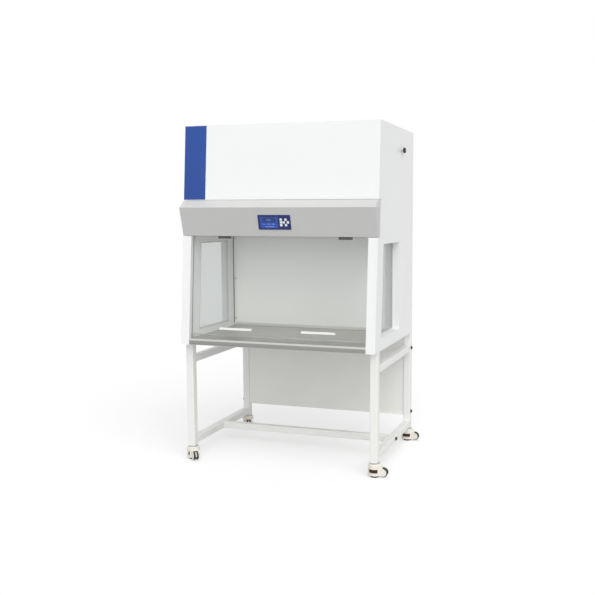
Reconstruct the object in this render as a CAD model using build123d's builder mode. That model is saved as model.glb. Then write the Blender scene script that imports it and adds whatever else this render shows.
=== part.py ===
from build123d import *
import os
from math import atan2, cos, radians, sin

# ----------------------------------------------------------------------------
# Vertical laminar flow bench on a welded stand with levelling casters.
# Millimetres, +Z up.  The origin is the middle of the footprint on the floor.
# Sketch coordinates are taken from the cabinet: x from its middle plane,
# y from the front edge of its base towards the rear, z from the floor.
# ----------------------------------------------------------------------------

# ---- cabinet
cabinet_width = 1200.0
cabinet_depth = 886.0
cabinet_base = 717.0          # underside of the cabinet above the floor
cabinet_top = 2005.0
top_setback = 108.0           # how far the front leans back at the top
sheet = 2.0                   # painted sheet steel
wall = 54.0                   # double-skinned side wall
seam = 1.5                    # gap between neighbouring covers
fold = 2.5                    # outside radius of the covers' folded edges
touch = 0.3                   # assembly clearance of pieces that only lie together

# ---- work chamber
work_height = 755.0           # top of the work surface
back_wall_y = 611.0           # front face of the chamber's back wall
ceiling_z = 1376.0            # underside of the ceiling
upstand = 18.0                # rear edge of the worktop
back_field_edge = 19.0        # plain border round the raised field of the back wall
back_field_proud = 1.0
back_screw_inset = 12.0

# ---- side windows
window_bottom = 789.0
window_top = 1320.0
window_rear = 536.0
window_setback = 125.0        # front edge, behind the sloping front
pane = 5.0                    # toughened glass
gasket_lip = 8.0
gasket_cheek = 3.0
window_corner = 8.0

# ---- control console across the front
apron_top = 1569.0
apron_bottom = 1360.0
ridge_z = 1526.0
ridge_y = 13.0
apron_lip = 24.0              # depth of the console's top and bottom plates
cover_return = 70.0           # side and top returns of the upper front cover
display_width = 200.0
display_height = 86.0
display_x = -5.0
display_up = 84.0             # centre of the display above the console's lower edge
bezel_thickness = 3.0
screen_width = 108.0
screen_height = 66.0
screen_x = -32.0
screen_proud = 0.4

# ---- sash
guide_setback = 27.5
guide_width = 14.0
guide_depth = 14.0
guide_wall = 4.2              # lined channel, leaving the glass its running gap
guide_top = 1988.0
sash_bottom = 775.0
sash_height = 622.0
pull_width = 204.0
pull_height = 12.0
pull_depth = 16.0
pull_x = 257.0
pull_z = 817.0

# ---- stand
tube = 45.0
tube_wall = 2.0
tube_corner = 4.0
rail_corner = 3.0
leg_front_y = 58.0
leg_bottom = 84.5
end_plate = 4.0
rail_height = 40.0
upper_rail_z = 597.0
lower_rail_z = 95.0
crossbar = 40.0
crossbar_y = 453.0
panel_setback = 36.0          # front face of the rear sheet, from the back of the legs
panel_bottom = 172.0
panel_lip = 11.0
panel_bolt_z = (195.0, 619.0)
panel_hole_radius = 4.0
panel_hole_inset = 16.0
panel_hole_rise = 12.0

# ---- casters
swivel_plate_radius = 29.0
swivel_plate = 4.0
neck_radius = 22.0
neck = 2.2
stem_radius = 6.0
stem_height = 24.0
stud_radius = 10.0
stud_length = 17.5
retainer_radius = 14.0
retainer = 3.0
running = 0.09                # radial running clearance of a shaft in its bore
body_radius = 38.0
body_bottom = 12.0
body_top = 78.0
body_chamfer = 6.0
wheel_radius = 25.0
wheel_offset = 54.0           # wheel's axle from the swivel axis
wheel_lift = 5.0              # wheel above the floor while the pads are down
tread = 10.0                  # width of each of the twin treads
web = 8.0                     # groove between them
hub_radius = 15.0
rim_chamfer = 2.2
cheek = 4.5
cheek_radius = 20.0
side_gap = 0.5
axle_radius = 4.0
dial_radius = 28.0
dial_bottom = 27.0
dial_height = 20.0
dial_notches = 20
slot_width = 51.0
slot_margin = 1.5
screw_radius = 7.0
screw_top = 47.5
pad_radius = 24.0
pad_height = 8.0
pad_travel = 10.0
headings = {"front_left": -48.0, "front_right": 0.0, "rear_left": -60.0, "rear_right": 0.0}

# ---- air system
filter_width = 1060.0
filter_depth = 400.0
filter_height = 70.0
filter_frame_wall = 12.0
pleat_pitch = 12.5
pleat_depth = 50.0
pleat_sheet = 1.2
plenum_height = 130.0
duct_sheet = 1.5
fan_width = 150.0
fan_radius = 110.0
fan_inner_radius = 88.0
blade_count = 32
blade_sheet = 1.2
scroll_width = 180.0
scroll_start = 122.0
scroll_growth = 62.0
inlet_radius = 82.0
fan_axis_height = 165.0       # above the plenum's deck
shaft_radius = 8.0
motor_radius = 68.0
motor_length = 130.0
grille_width = 520.0
grille_depth = 300.0
grille_slots = 12
prefilter_height = 20.0

# ---- lamps and ceiling handles
lamp_y = 162.0
lamp_length = 620.0
lamp_width = 50.0
lamp_height = 14.0
handle_gap = 29.5             # from the lamp's end
handle_width = 81.0
handle_drop = 35.0
handle_thickness = 16.0
handle_wall = 3.0             # skin left in front of the finger recess
uv_radius = 13.0
uv_length = 604.0
uv_z = 1359.0
uv_gap = 24.0                 # tube's axis in front of the back wall
uv_holder = 30.0

# ---- fittings
port_y = 575.0
port_z = 1870.0
port_radius = 6.0
port_length = 13.0
port_cap_radius = 16.5
port_cap = 12.0
inlet_x = 380.0
inlet_z = 800.0
inlet_width = 48.0
inlet_height = 28.0
bolt_radius = 5.0
bolt_head_radius = 9.0
bolt_head = 6.0
washer_radius = 12.0
washer = 2.0
screw_head_radius = 5.0
screw_head = 2.4
screw_shank_radius = 2.2
screw_nut = 3.2

# ---- derived places
half_width = cabinet_width / 2
inner_x = half_width - wall
lean = atan2(top_setback, cabinet_top - cabinet_base)
leg_x = half_width - tube / 2
leg_front = leg_front_y + tube / 2
leg_rear = cabinet_depth - tube / 2
left_reach = leg_x + body_radius
right_reach = leg_x + wheel_offset + wheel_radius
cabinet_x = (left_reach - right_reach) / 2
cabinet_y = -(leg_rear + body_radius) / 2
apron_return = guide_setback + guide_width + 1.0 - seam
apron_edge = apron_return + seam
cover_edge = cover_return + seam
sash_setback = guide_setback + guide_width / 2
panel_y = cabinet_depth - panel_setback
handle_x = lamp_length / 2 + handle_gap + handle_width / 2


def front_y(z):
    """The sloping front, at a height."""
    return top_setback * (z - cabinet_base) / (cabinet_top - cabinet_base)


def level(z):
    """Horizontal sketch plane at a height."""
    return Plane((cabinet_x, cabinet_y, z))


def section(x):
    """Side-view sketch plane (y, z) at a distance from the middle."""
    return Plane(origin=(cabinet_x + x, cabinet_y, 0), x_dir=(0, 1, 0), z_dir=(1, 0, 0))


def elevation(y):
    """Front-view sketch plane (x, z); extrusions run towards the front."""
    return Plane(origin=(cabinet_x, cabinet_y + y, 0), x_dir=(1, 0, 0), z_dir=(0, -1, 0))


def sash_plane(setback):
    """Plane parallel to the sloping front; sketches in (x, distance up the slope)."""
    return Plane(
        origin=(cabinet_x, cabinet_y + setback, cabinet_base),
        x_dir=(1, 0, 0),
        z_dir=(0, -cos(lean), sin(lean)),
    )


def sash_cross_section(z):
    """Plane square to the sash's travel; sketches in (x, distance behind the guide's front)."""
    return Plane(
        origin=(cabinet_x, cabinet_y + guide_setback + front_y(z), z),
        x_dir=(1, 0, 0),
        z_dir=(0, sin(lean), cos(lean)),
    )


def up_slope(z):
    """Distance up the slope of a point at a height."""
    return (z - cabinet_base) / cos(lean)


middle = Plane.YZ.offset(cabinet_x)


def pan_screws(seat, places, outward, length):
    """Pan-head screws standing on a seat plane, each with its nut at the far end."""
    with BuildSketch(seat) as heads:
        with Locations(*places):
            Circle(screw_head_radius)
    extrude(heads.sketch, amount=outward * screw_head)
    with BuildSketch(seat.offset(outward * screw_head / 2)) as shanks:
        with Locations(*places):
            Circle(screw_shank_radius)
    extrude(shanks.sketch, amount=-outward * (length + screw_nut + 1.0 + screw_head / 2))
    with BuildSketch(seat.offset(-outward * length)) as nuts:
        with Locations(*places):
            RegularPolygon(screw_head_radius, 6)
    extrude(nuts.sketch, amount=-outward * screw_nut)


def screw_holes(seat, places, outward, depth):
    """Clearance holes for the shanks of pan-head screws."""
    with BuildSketch(seat) as holes:
        with Locations(*places):
            Circle(screw_shank_radius + 0.2)
    extrude(holes.sketch, amount=-outward * depth, mode=Mode.SUBTRACT)


def outline(points, corner=0.0, mode=Mode.ADD):
    """A closed polygon face in the current sketch, with rounded corners if asked for."""
    with BuildLine() as path:
        if corner:
            FilletPolyline(*points, radius=corner, close=True)
        else:
            Polyline(*points, close=True)
    make_face(path.edges(), mode=mode)


def folded(points, thickness, bend, side):
    """The section of a folded sheet: an open path thickened to one side."""
    with BuildLine() as path:
        FilletPolyline(*points, radius=bend)
        offset(amount=thickness, side=side)
    make_face(path.edges())


def window_points(grow):
    """Corners of the side window, enlarged all round."""
    low = window_bottom - grow
    high = window_top + grow
    front = window_setback - grow / cos(lean)
    return [
        (front_y(low) + front, low),
        (window_rear + grow, low),
        (window_rear + grow, high),
        (front_y(high) + front, high),
    ]


def guide_envelope(side, mode):
    """The space of one sash guide, from the work surface to its top."""
    with BuildSketch(sash_cross_section(work_height)) as envelope:
        with Locations((side * (inner_x + guide_depth / 2), guide_width / 2)):
            Rectangle(guide_depth, guide_width)
    extrude(envelope.sketch, amount=(guide_top - work_height) / cos(lean), mode=mode)


back_wall_screws = [
    (side * (inner_x - back_screw_inset), z)
    for side in (-1, 1)
    for z in (work_height + 46.0, (work_height + ceiling_z) / 2, ceiling_z - 46.0)
]
rear_strip = 20.0                     # inward edge of the side trays, behind the rear panel
rear_screws = [
    (side * (inner_x + sheet - 10.0), z)
    for side in (-1, 1)
    for z in (cabinet_base + 90.0, 1150.0, apron_top, cabinet_top - 90.0)
]

side_outline = [
    (front_y(cabinet_base), cabinet_base),
    (cabinet_depth, cabinet_base),
    (cabinet_depth, cabinet_top),
    (front_y(cabinet_top) + cover_edge, cabinet_top),
    (front_y(apron_top) + cover_edge, apron_top),
    (front_y(apron_top) + apron_edge, apron_top),
    (front_y(apron_bottom - seam) + apron_edge, apron_bottom - seam),
    (front_y(apron_bottom - seam), apron_bottom - seam),
]
liner_outline = [
    (front_y(cabinet_base), cabinet_base),
    (back_wall_y, cabinet_base),
    (back_wall_y, ceiling_z),
    (front_y(ceiling_z) + apron_edge, ceiling_z),
    (front_y(apron_bottom - seam) + apron_edge, apron_bottom - seam),
    (front_y(apron_bottom - seam), apron_bottom - seam),
]


cover_tab_heights = (apron_top + 41.0, (apron_top + cabinet_top) / 2, cabinet_top - 45.0)
apron_tab_heights = (apron_bottom + 35.0, apron_top - 34.0)


def seat_tabs(setback, heights):
    """Tabs inside a cover's ends that rest on the front edges of the side trays."""
    places = [(side * (half_width - 14.0), up_slope(z)) for side in (-1, 1) for z in heights]
    with BuildSketch(sash_plane(setback)) as tabs:
        with Locations(*places):
            Rectangle(26.0, 20.0)
    extrude(tabs.sketch, amount=8.0)


# ---------------------------------------------------------------- side walls
# Outer skin: a deep tray with the window's reveal as a flanged tunnel.
with BuildPart() as left_side_panel:
    with BuildSketch(section(-half_width)):
        outline(side_outline)
    extrude(amount=wall - sheet)
    fillet(left_side_panel.faces().sort_by(Axis.X)[0].edges(), fold)
    with BuildSketch(section(-half_width + sheet)):
        outline(side_outline)
        offset(amount=-sheet, kind=Kind.INTERSECTION)
        outline(window_points(sheet), window_corner + sheet, Mode.SUBTRACT)
    extrude(amount=wall, mode=Mode.SUBTRACT)
    with BuildSketch(section(-half_width)):
        outline(window_points(0), window_corner)
    extrude(amount=wall, mode=Mode.SUBTRACT)
    guide_envelope(-1, Mode.SUBTRACT)
    with BuildSketch(elevation(cabinet_depth - sheet)):
        with Locations((-inner_x - sheet + (rear_strip - 12.0) / 2, (cabinet_base + cabinet_top) / 2)):
            Rectangle(rear_strip + 12.0, cabinet_top - cabinet_base - 60.0)
    extrude(amount=sheet)
    screw_holes(elevation(cabinet_depth), rear_screws, -1, 3 * sheet)
left_side_panel.part.label = "left_side_panel"

with BuildPart() as right_side_panel:
    mirror(left_side_panel.part, about=middle)
    with BuildSketch(section(half_width)):
        with Locations((port_y, port_z)):
            Circle(port_radius)
    extrude(amount=-2 * sheet, mode=Mode.SUBTRACT)
right_side_panel.part.label = "right_side_panel"

# Inner liner: a flat sheet over the tray's edges, slotted for the sash guide.
with BuildPart() as left_liner:
    with BuildSketch(section(-inner_x - sheet)):
        outline(liner_outline)
        outline(window_points(0), window_corner, Mode.SUBTRACT)
    extrude(amount=sheet)
    guide_envelope(-1, Mode.SUBTRACT)
left_liner.part.label = "left_liner"

with BuildPart() as right_liner:
    mirror(left_liner.part, about=middle)
right_liner.part.label = "right_liner"

# Fixed panes near the inner face, each held all round in a grooved gasket.
pane_x = inner_x + sheet + gasket_cheek
with BuildPart() as window_gaskets:
    for side in (-1, 1):
        with BuildSketch(section(side * (inner_x + sheet))):
            outline(window_points(-touch), window_corner)
            outline(window_points(-gasket_lip), window_corner / 2, Mode.SUBTRACT)
        extrude(amount=side * (pane + 2 * gasket_cheek))
    for side in (-1, 1):
        with BuildSketch(section(side * pane_x)):
            outline(window_points(-gasket_lip / 2), window_corner / 2)
        extrude(amount=side * pane, mode=Mode.SUBTRACT)
window_gaskets.part.label = "window_gaskets"

with BuildPart() as window_panes:
    for side in (-1, 1):
        with BuildSketch(section(side * pane_x)):
            outline(window_points(-gasket_lip / 2), window_corner / 2)
        extrude(amount=side * pane)
window_panes.part.label = "window_panes"

# ---------------------------------------------------------------- cabinet shell
panel_half = inner_x + sheet          # covers between the two side trays
cover_top_y = front_y(cabinet_top) + cover_edge

with BuildPart() as base_panel:
    floor_path = [
        (sheet + touch, work_height - sheet),
        (sheet + touch, cabinet_base),
        (cabinet_depth - sheet, cabinet_base),
    ]
    with BuildSketch(section(-inner_x)):
        folded(floor_path, sheet, sheet, Side.LEFT)
    extrude(amount=2 * inner_x)
    rib_height = work_height - sheet - cabinet_base - sheet
    for rib_y in (200.0, 400.0, back_wall_y - 30.0):
        with BuildSketch(section(-inner_x + touch)):
            with Locations((rib_y, cabinet_base + sheet + rib_height / 2)):
                Rectangle(30.0, rib_height)
        extrude(amount=2 * (inner_x - touch))
        with BuildSketch(section(-inner_x + touch)):
            with Locations((rib_y, cabinet_base + rib_height / 2)):
                Rectangle(30.0 - 2 * sheet, rib_height)
        extrude(amount=2 * (inner_x - touch), mode=Mode.SUBTRACT)
base_panel.part.label = "base_panel"

with BuildPart() as rear_panel:
    rear_bottom = cabinet_base + sheet
    rear_top = cabinet_top - sheet
    rear_path = [
        (cabinet_depth - 22.0, rear_bottom),
        (cabinet_depth, rear_bottom),
        (cabinet_depth, rear_top),
        (cabinet_depth - 22.0, rear_top),
    ]
    with BuildSketch(section(-panel_half)):
        folded(rear_path, sheet, sheet, Side.LEFT)
    extrude(amount=2 * panel_half)
    with BuildSketch(elevation(cabinet_depth)):
        with Locations((inlet_x, inlet_z)):
            RectangleRounded(inlet_width, inlet_height, 3.0)
    extrude(amount=2 * sheet, mode=Mode.SUBTRACT)
    screw_holes(elevation(cabinet_depth), rear_screws, -1, 2 * sheet)
rear_panel.part.label = "rear_panel"

grille_y = cover_top_y + 190.0 + grille_depth / 2
with BuildPart() as roof_panel:
    with BuildSketch(level(cabinet_top - sheet)):
        roof_depth = cabinet_depth - cover_top_y
        with Locations((0, cover_top_y + roof_depth / 2)):
            Rectangle(2 * panel_half, roof_depth)
        with Locations((0, grille_y)):
            Rectangle(grille_width, grille_depth, mode=Mode.SUBTRACT)
    extrude(amount=sheet)
    with BuildSketch(level(cabinet_top - sheet)):
        with Locations((0, cover_top_y + 7.0)):
            Rectangle(2 * panel_half, sheet)
    extrude(amount=-25.0)
roof_panel.part.label = "roof_panel"

# Slotted tray under the roof's opening; its lips carry the prefilter pad.
grille_tray = prefilter_height + 2 * sheet
tray_width = grille_width + 30.0
tray_depth = grille_depth + 30.0
slot_pitch = (grille_depth - 20.0) / grille_slots
with BuildPart() as prefilter_grille:
    with BuildSketch(level(cabinet_top - sheet)):
        with Locations((0, grille_y)):
            Rectangle(tray_width, tray_depth)
    extrude(amount=-grille_tray)
    with BuildSketch(level(cabinet_top - 2 * sheet)):
        with Locations((0, grille_y)):
            Rectangle(tray_width - 2 * sheet, tray_depth - 2 * sheet)
    extrude(amount=-(grille_tray - 2 * sheet), mode=Mode.SUBTRACT)
    with BuildSketch(level(cabinet_top - sheet - grille_tray)):
        with Locations((0, grille_y)):
            Rectangle(grille_width, grille_depth)
    extrude(amount=2 * sheet, mode=Mode.SUBTRACT)
    with BuildSketch(level(cabinet_top - sheet)):
        with Locations((0, grille_y)):
            with GridLocations(grille_width / 2, slot_pitch, 2, grille_slots):
                SlotOverall(grille_width / 2 - 20.0, slot_pitch / 2)
    extrude(amount=-2 * sheet, mode=Mode.SUBTRACT)
prefilter_grille.part.label = "prefilter_grille"

with BuildPart() as prefilter:
    with BuildSketch(level(cabinet_top - 2 * sheet - touch)):
        with Locations((0, grille_y)):
            Rectangle(tray_width - 2 * sheet - 2 * touch, tray_depth - 2 * sheet - 2 * touch)
    extrude(amount=-(grille_tray - 2 * sheet - touch))
prefilter.part.label = "prefilter"

# Upper front cover: one folded panel with side and top returns.
with BuildPart() as front_cover:
    cover_bottom = apron_top + seam
    cover_profile = [
        (front_y(cover_bottom), cover_bottom),
        (front_y(cover_bottom) + cover_return, cover_bottom),
        (front_y(cabinet_top) + cover_return, cabinet_top),
        (front_y(cabinet_top), cabinet_top),
    ]
    cover_hollow = [
        (front_y(cover_bottom - sheet) + sheet, cover_bottom - sheet),
        (front_y(cover_bottom - sheet) + 2 * cover_return, cover_bottom - sheet),
        (front_y(cabinet_top) + 2 * cover_return, cabinet_top - sheet),
        (front_y(cabinet_top - sheet) + sheet, cabinet_top - sheet),
    ]
    with BuildSketch(section(-half_width)):
        outline(cover_profile)
    extrude(amount=cabinet_width)
    cover_face = front_cover.faces().sort_by(Axis.Y)[0]
    fillet(cover_face.edges().sort_by(Axis.Z)[1:], fold)
    with BuildSketch(section(-half_width + sheet)):
        outline(cover_hollow)
    extrude(amount=cabinet_width - 2 * sheet, mode=Mode.SUBTRACT)
    seat_tabs(cover_edge, cover_tab_heights)
front_cover.part.label = "front_cover"

# ---------------------------------------------------------------- control console
apron_face_tilt = atan2(front_y(apron_bottom) + seam - ridge_y, ridge_z - apron_bottom)
apron_foot_y = front_y(apron_bottom) + seam
apron_face = Plane(
    origin=(cabinet_x, cabinet_y + apron_foot_y, apron_bottom),
    x_dir=(1, 0, 0),
    z_dir=(0, -cos(apron_face_tilt), -sin(apron_face_tilt)),
)
with BuildPart() as apron:
    console_profile = [
        (front_y(apron_top), apron_top),
        (ridge_y, ridge_z),
        (apron_foot_y, apron_bottom),
        (front_y(apron_bottom) + apron_return, apron_bottom),
        (front_y(apron_top) + apron_return, apron_top),
    ]
    with BuildSketch(section(-half_width)):
        outline(console_profile)
    extrude(amount=cabinet_width)
    console_faces = apron.faces().filter_by(lambda face: face.normal_at().Y < -0.3)
    fillet(list(set(console_faces.edges())), fold)
    skin = sheet / cos(apron_face_tilt)
    inside_top = apron_top - sheet
    inside_bottom = apron_bottom + sheet
    console_hollow = [
        (front_y(apron_top) + sheet, inside_top),
        (ridge_y + skin + sheet / 2, ridge_z),
        (apron_foot_y + skin, inside_bottom),
        (front_y(apron_bottom) + apron_lip, inside_bottom),
        (front_y(apron_bottom) + apron_lip, apron_bottom - sheet),
        (front_y(apron_bottom) + 2 * apron_return, apron_bottom - sheet),
        (front_y(apron_top) + 2 * apron_return, apron_top + sheet),
        (front_y(apron_top) + apron_lip, apron_top + sheet),
        (front_y(apron_top) + apron_lip, inside_top),
    ]
    with BuildSketch(section(-half_width + sheet)):
        outline(console_hollow)
    extrude(amount=cabinet_width - 2 * sheet, mode=Mode.SUBTRACT)
    with BuildSketch(apron_face):
        with Locations((display_x, display_up)):
            Rectangle(display_width - 16.0, display_height - 16.0)
    extrude(amount=-3 * sheet, mode=Mode.SUBTRACT)
    seat_tabs(apron_edge, apron_tab_heights)
apron.part.label = "apron"

with BuildPart() as display_bezel:
    with BuildSketch(apron_face):
        with Locations((display_x, display_up)):
            RectangleRounded(display_width, display_height, 3.0)
    extrude(amount=bezel_thickness)
    with BuildSketch(apron_face.offset(bezel_thickness)):
        with Locations((display_x + screen_x, display_up)):
            Rectangle(screen_width, screen_height)
    extrude(amount=-bezel_thickness, mode=Mode.SUBTRACT)
    outer_face = display_bezel.faces().sort_by(Axis((0, 0, 0), tuple(apron_face.z_dir)))[-1]
    chamfer(outer_face.outer_wire().edges(), 0.8)
display_bezel.part.label = "display_bezel"

with BuildPart() as display_screen:
    with BuildSketch(apron_face.offset(-9.0)):
        with Locations((display_x + screen_x, display_up)):
            Rectangle(screen_width, screen_height)
    extrude(amount=9.0 + bezel_thickness - screen_proud)
display_screen.part.label = "display_screen"

# Electronics box hung behind the console's face, clear of the sash.
with BuildPart() as controller_box:
    with BuildSketch(section(-150.0)):
        outline([
            (front_y(1555.0) + 6.0, 1555.0),
            (ridge_y + 12.0, 1515.0),
            (ridge_y + 40.0, 1410.0),
            (front_y(1410.0) + apron_lip - 3.0, 1410.0),
            (front_y(1555.0) + apron_lip - 3.0, 1555.0),
        ])
    extrude(amount=290.0)
    with BuildSketch(apron_face.offset(-9.0)):
        with Locations((display_x, display_up)):
            Rectangle(display_width + 30.0, display_height + 30.0)
    extrude(amount=60.0, mode=Mode.SUBTRACT)
controller_box.part.label = "controller_box"

# ---------------------------------------------------------------- work chamber
# Stainless work surface folded down at the front and up at the back.
with BuildPart() as worktop:
    worktop_path = [
        (0, cabinet_base + sheet + touch),
        (0, work_height),
        (back_wall_y - touch - sheet, work_height),
        (back_wall_y - touch - sheet, work_height + upstand),
    ]
    with BuildSketch(section(-inner_x + 0.5)):
        folded(worktop_path, 1.5, 2.5, Side.RIGHT)
    extrude(amount=2 * inner_x - 1.0)
worktop.part.label = "worktop"

with BuildPart() as back_wall:
    with BuildSketch(elevation(back_wall_y + sheet)):
        with Locations((0, (cabinet_base + sheet + ceiling_z) / 2)):
            Rectangle(2 * inner_x, ceiling_z - cabinet_base - sheet)
    extrude(amount=sheet)
    field_bottom = work_height + upstand + 15.0
    field_top = ceiling_z - 12.0
    with BuildSketch(elevation(back_wall_y)):
        with Locations((0, (field_bottom + field_top) / 2)):
            Rectangle(2 * (inner_x - back_field_edge), field_top - field_bottom)
    extrude(amount=back_field_proud)
    screw_holes(elevation(back_wall_y), back_wall_screws, 1, 2 * sheet)
back_wall.part.label = "back_wall"

# Ceiling: a frame round the diffuser, reaching over the back wall.
ceiling_front = front_y(ceiling_z) + apron_edge + 1.0
diffuser_front = 205.0
diffuser_rear = back_wall_y - 20.0
diffuser_half = inner_x - 28.0
with BuildPart() as ceiling_panel:
    with BuildSketch(level(ceiling_z)):
        with Locations((0, (ceiling_front + back_wall_y + 30.0) / 2)):
            Rectangle(2 * inner_x, back_wall_y + 30.0 - ceiling_front)
        with Locations((0, (diffuser_front + diffuser_rear) / 2)):
            Rectangle(
                2 * diffuser_half - 20.0,
                diffuser_rear - diffuser_front - 20.0,
                mode=Mode.SUBTRACT,
            )
    extrude(amount=sheet)
ceiling_panel.part.label = "ceiling_panel"

with BuildPart() as diffuser_screen:
    with BuildSketch(level(ceiling_z)):
        with Locations((0, (diffuser_front + diffuser_rear) / 2)):
            Rectangle(2 * diffuser_half, diffuser_rear - diffuser_front)
            with GridLocations(48.0, 40.0, 20, 8):
                Rectangle(38.0, 12.0, mode=Mode.SUBTRACT)
    extrude(amount=-1.5)
diffuser_screen.part.label = "diffuser_screen"

# ---------------------------------------------------------------- sash and guides
with BuildPart() as sash_guides:
    for side in (-1, 1):
        with BuildSketch(sash_cross_section(work_height)):
            with Locations((side * (inner_x + guide_depth / 2), guide_width / 2)):
                Rectangle(guide_depth - touch, guide_width - touch)
            with Locations((side * (inner_x + guide_depth / 2 - guide_wall), guide_width / 2)):
                Rectangle(guide_depth, guide_width - 2 * guide_wall, mode=Mode.SUBTRACT)
        extrude(amount=(guide_top - work_height) / cos(lean))
sash_guides.part.label = "sash_guides"

with BuildPart() as sash_glass:
    with BuildSketch(sash_plane(sash_setback + pane / 2 / cos(lean))):
        with Locations((0, up_slope(sash_bottom) + sash_height / 2)):
            Rectangle(2 * (inner_x + 9.0), sash_height)
    extrude(amount=pane)
    fillet(sash_glass.edges().filter_by(Axis((0, 0, 0), (0, -cos(lean), sin(lean)))), 4.0)
sash_glass.part.label = "sash_glass"

pull_face = sash_plane(sash_setback - pane / 2 / cos(lean))
with BuildPart() as sash_pulls:
    with BuildSketch(pull_face):
        with Locations((-pull_x, up_slope(pull_z)), (pull_x, up_slope(pull_z))):
            RectangleRounded(pull_width, pull_height, 3.0)
    extrude(amount=pull_depth)
    with BuildSketch(pull_face.offset(pull_depth / 2)):
        with Locations((-pull_x, up_slope(pull_z) + 6.0), (pull_x, up_slope(pull_z) + 6.0)):
            Rectangle(pull_width - 12.0, 6.0)
    extrude(amount=5.0, mode=Mode.SUBTRACT)
sash_pulls.part.label = "sash_pulls"

# ---------------------------------------------------------------- air system
filter_bottom = ceiling_z + 14.0
filter_y = 205.0 + filter_depth / 2
with BuildPart() as filter_frame:
    with BuildSketch(level(filter_bottom)):
        with Locations((0, filter_y)):
            Rectangle(filter_width, filter_depth)
            Rectangle(
                filter_width - 2 * filter_frame_wall,
                filter_depth - 2 * filter_frame_wall,
                mode=Mode.SUBTRACT,
            )
    extrude(amount=filter_height)
    with BuildSketch(level(ceiling_z + sheet)):
        with Locations((0, filter_y)):
            Rectangle(filter_width, filter_depth)
            Rectangle(filter_width - 30.0, filter_depth - 30.0, mode=Mode.SUBTRACT)
    extrude(amount=filter_bottom - ceiling_z - sheet)
filter_frame.part.label = "filter_frame"

pleat_span = filter_width - 2 * filter_frame_wall
pleat_count = int(pleat_span / pleat_pitch)
with BuildPart() as filter_media:
    crest = []
    for index in range(pleat_count + 1):
        rise = pleat_depth if index % 2 else 0.0
        crest.append((index * pleat_span / pleat_count - pleat_span / 2, filter_bottom + 8.0 + rise))
    lower = [(x, z - pleat_sheet) for x, z in reversed(crest)]
    with BuildSketch(elevation(filter_y + filter_depth / 2 - filter_frame_wall)):
        outline(crest + lower)
    extrude(amount=filter_depth - 2 * filter_frame_wall)
filter_media.part.label = "filter_media"

deck_z = filter_bottom + filter_height + plenum_height
scroll_y = 400.0
fan_z = deck_z + fan_axis_height
with BuildPart() as plenum_box:
    with BuildSketch(level(filter_bottom + filter_height)):
        with Locations((0, filter_y)):
            Rectangle(filter_width, filter_depth)
    extrude(amount=plenum_height)
    with BuildSketch(level(filter_bottom + filter_height)):
        with Locations((0, filter_y)):
            Rectangle(filter_width - 2 * duct_sheet, filter_depth - 2 * duct_sheet)
    extrude(amount=plenum_height - duct_sheet, mode=Mode.SUBTRACT)
    with BuildSketch(level(deck_z)):
        with Locations((0, scroll_y - fan_radius)):
            Rectangle(scroll_width - 10.0, 100.0)
    extrude(amount=-2 * duct_sheet, mode=Mode.SUBTRACT)
    side_flange = (inner_x - filter_width / 2)
    with BuildSketch(level(deck_z)):
        with Locations((0, filter_y + filter_depth / 2 + 10.0)):
            Rectangle(filter_width, 20.0)
    extrude(amount=-duct_sheet)
    for side in (-1, 1):
        with BuildSketch(level(deck_z)):
            with Locations((side * (inner_x + filter_width / 2) / 2, filter_y)):
                Rectangle(side_flange, filter_depth)
        extrude(amount=-duct_sheet)
plenum_box.part.label = "plenum_box"


def fan_plane(x):
    """Side-view plane whose sketch origin is the fan's axis."""
    return Plane(
        origin=(cabinet_x + x, cabinet_y + scroll_y, fan_z),
        x_dir=(0, 1, 0),
        z_dir=(1, 0, 0),
    )


def scroll_points(inset):
    """The casing's outline: a spiral round the wheel that ends in a straight throat."""
    steps = 24
    points = []
    for index in range(steps + 1):
        share = index / steps
        turn = radians(285.0 * share - 105.0)
        reach = scroll_start + scroll_growth * share - inset
        points.append((reach * cos(turn), reach * sin(turn)))
    points.append((inset - scroll_start - scroll_growth, -fan_axis_height))
    points.append((-45.0 - inset, -fan_axis_height))
    return points


with BuildPart() as blower_scroll:
    with BuildSketch(fan_plane(-scroll_width / 2)):
        outline(scroll_points(0.0))
    extrude(amount=scroll_width)
    with BuildSketch(fan_plane(-scroll_width / 2 + duct_sheet)):
        outline(scroll_points(duct_sheet))
    extrude(amount=scroll_width - 2 * duct_sheet, mode=Mode.SUBTRACT)
    with BuildSketch(fan_plane(-scroll_width / 2)):
        Circle(inlet_radius)
    extrude(amount=scroll_width, mode=Mode.SUBTRACT)
blower_scroll.part.label = "blower_scroll"

with BuildPart() as blower_wheel:
    with BuildSketch(fan_plane(-1.5)):
        Circle(fan_radius)
    extrude(amount=3.0)
    with BuildSketch(fan_plane(-25.0)):
        Circle(22.0)
    extrude(amount=50.0)
    with BuildSketch(fan_plane(-fan_width / 2)):
        with PolarLocations((fan_radius + fan_inner_radius) / 2, blade_count):
            Rectangle(fan_radius - fan_inner_radius, blade_sheet)
    extrude(amount=fan_width)
    for start in (-fan_width / 2, fan_width / 2 - 2.0):
        with BuildSketch(fan_plane(start)):
            Circle(fan_radius)
            Circle(fan_inner_radius, mode=Mode.SUBTRACT)
        extrude(amount=2.0)
    with BuildSketch(fan_plane(-fan_width)):
        Circle(shaft_radius)
    extrude(amount=2 * fan_width, mode=Mode.SUBTRACT)
blower_wheel.part.label = "blower_wheel"

motor_x = scroll_width / 2 + 60.0
bearing_x = -scroll_width / 2 - 60.0
with BuildPart() as blower_shaft:
    with BuildSketch(fan_plane(bearing_x - 12.0)):
        Circle(shaft_radius)
    extrude(amount=motor_x + 50.0 - bearing_x + 12.0)
blower_shaft.part.label = "blower_shaft"

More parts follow.
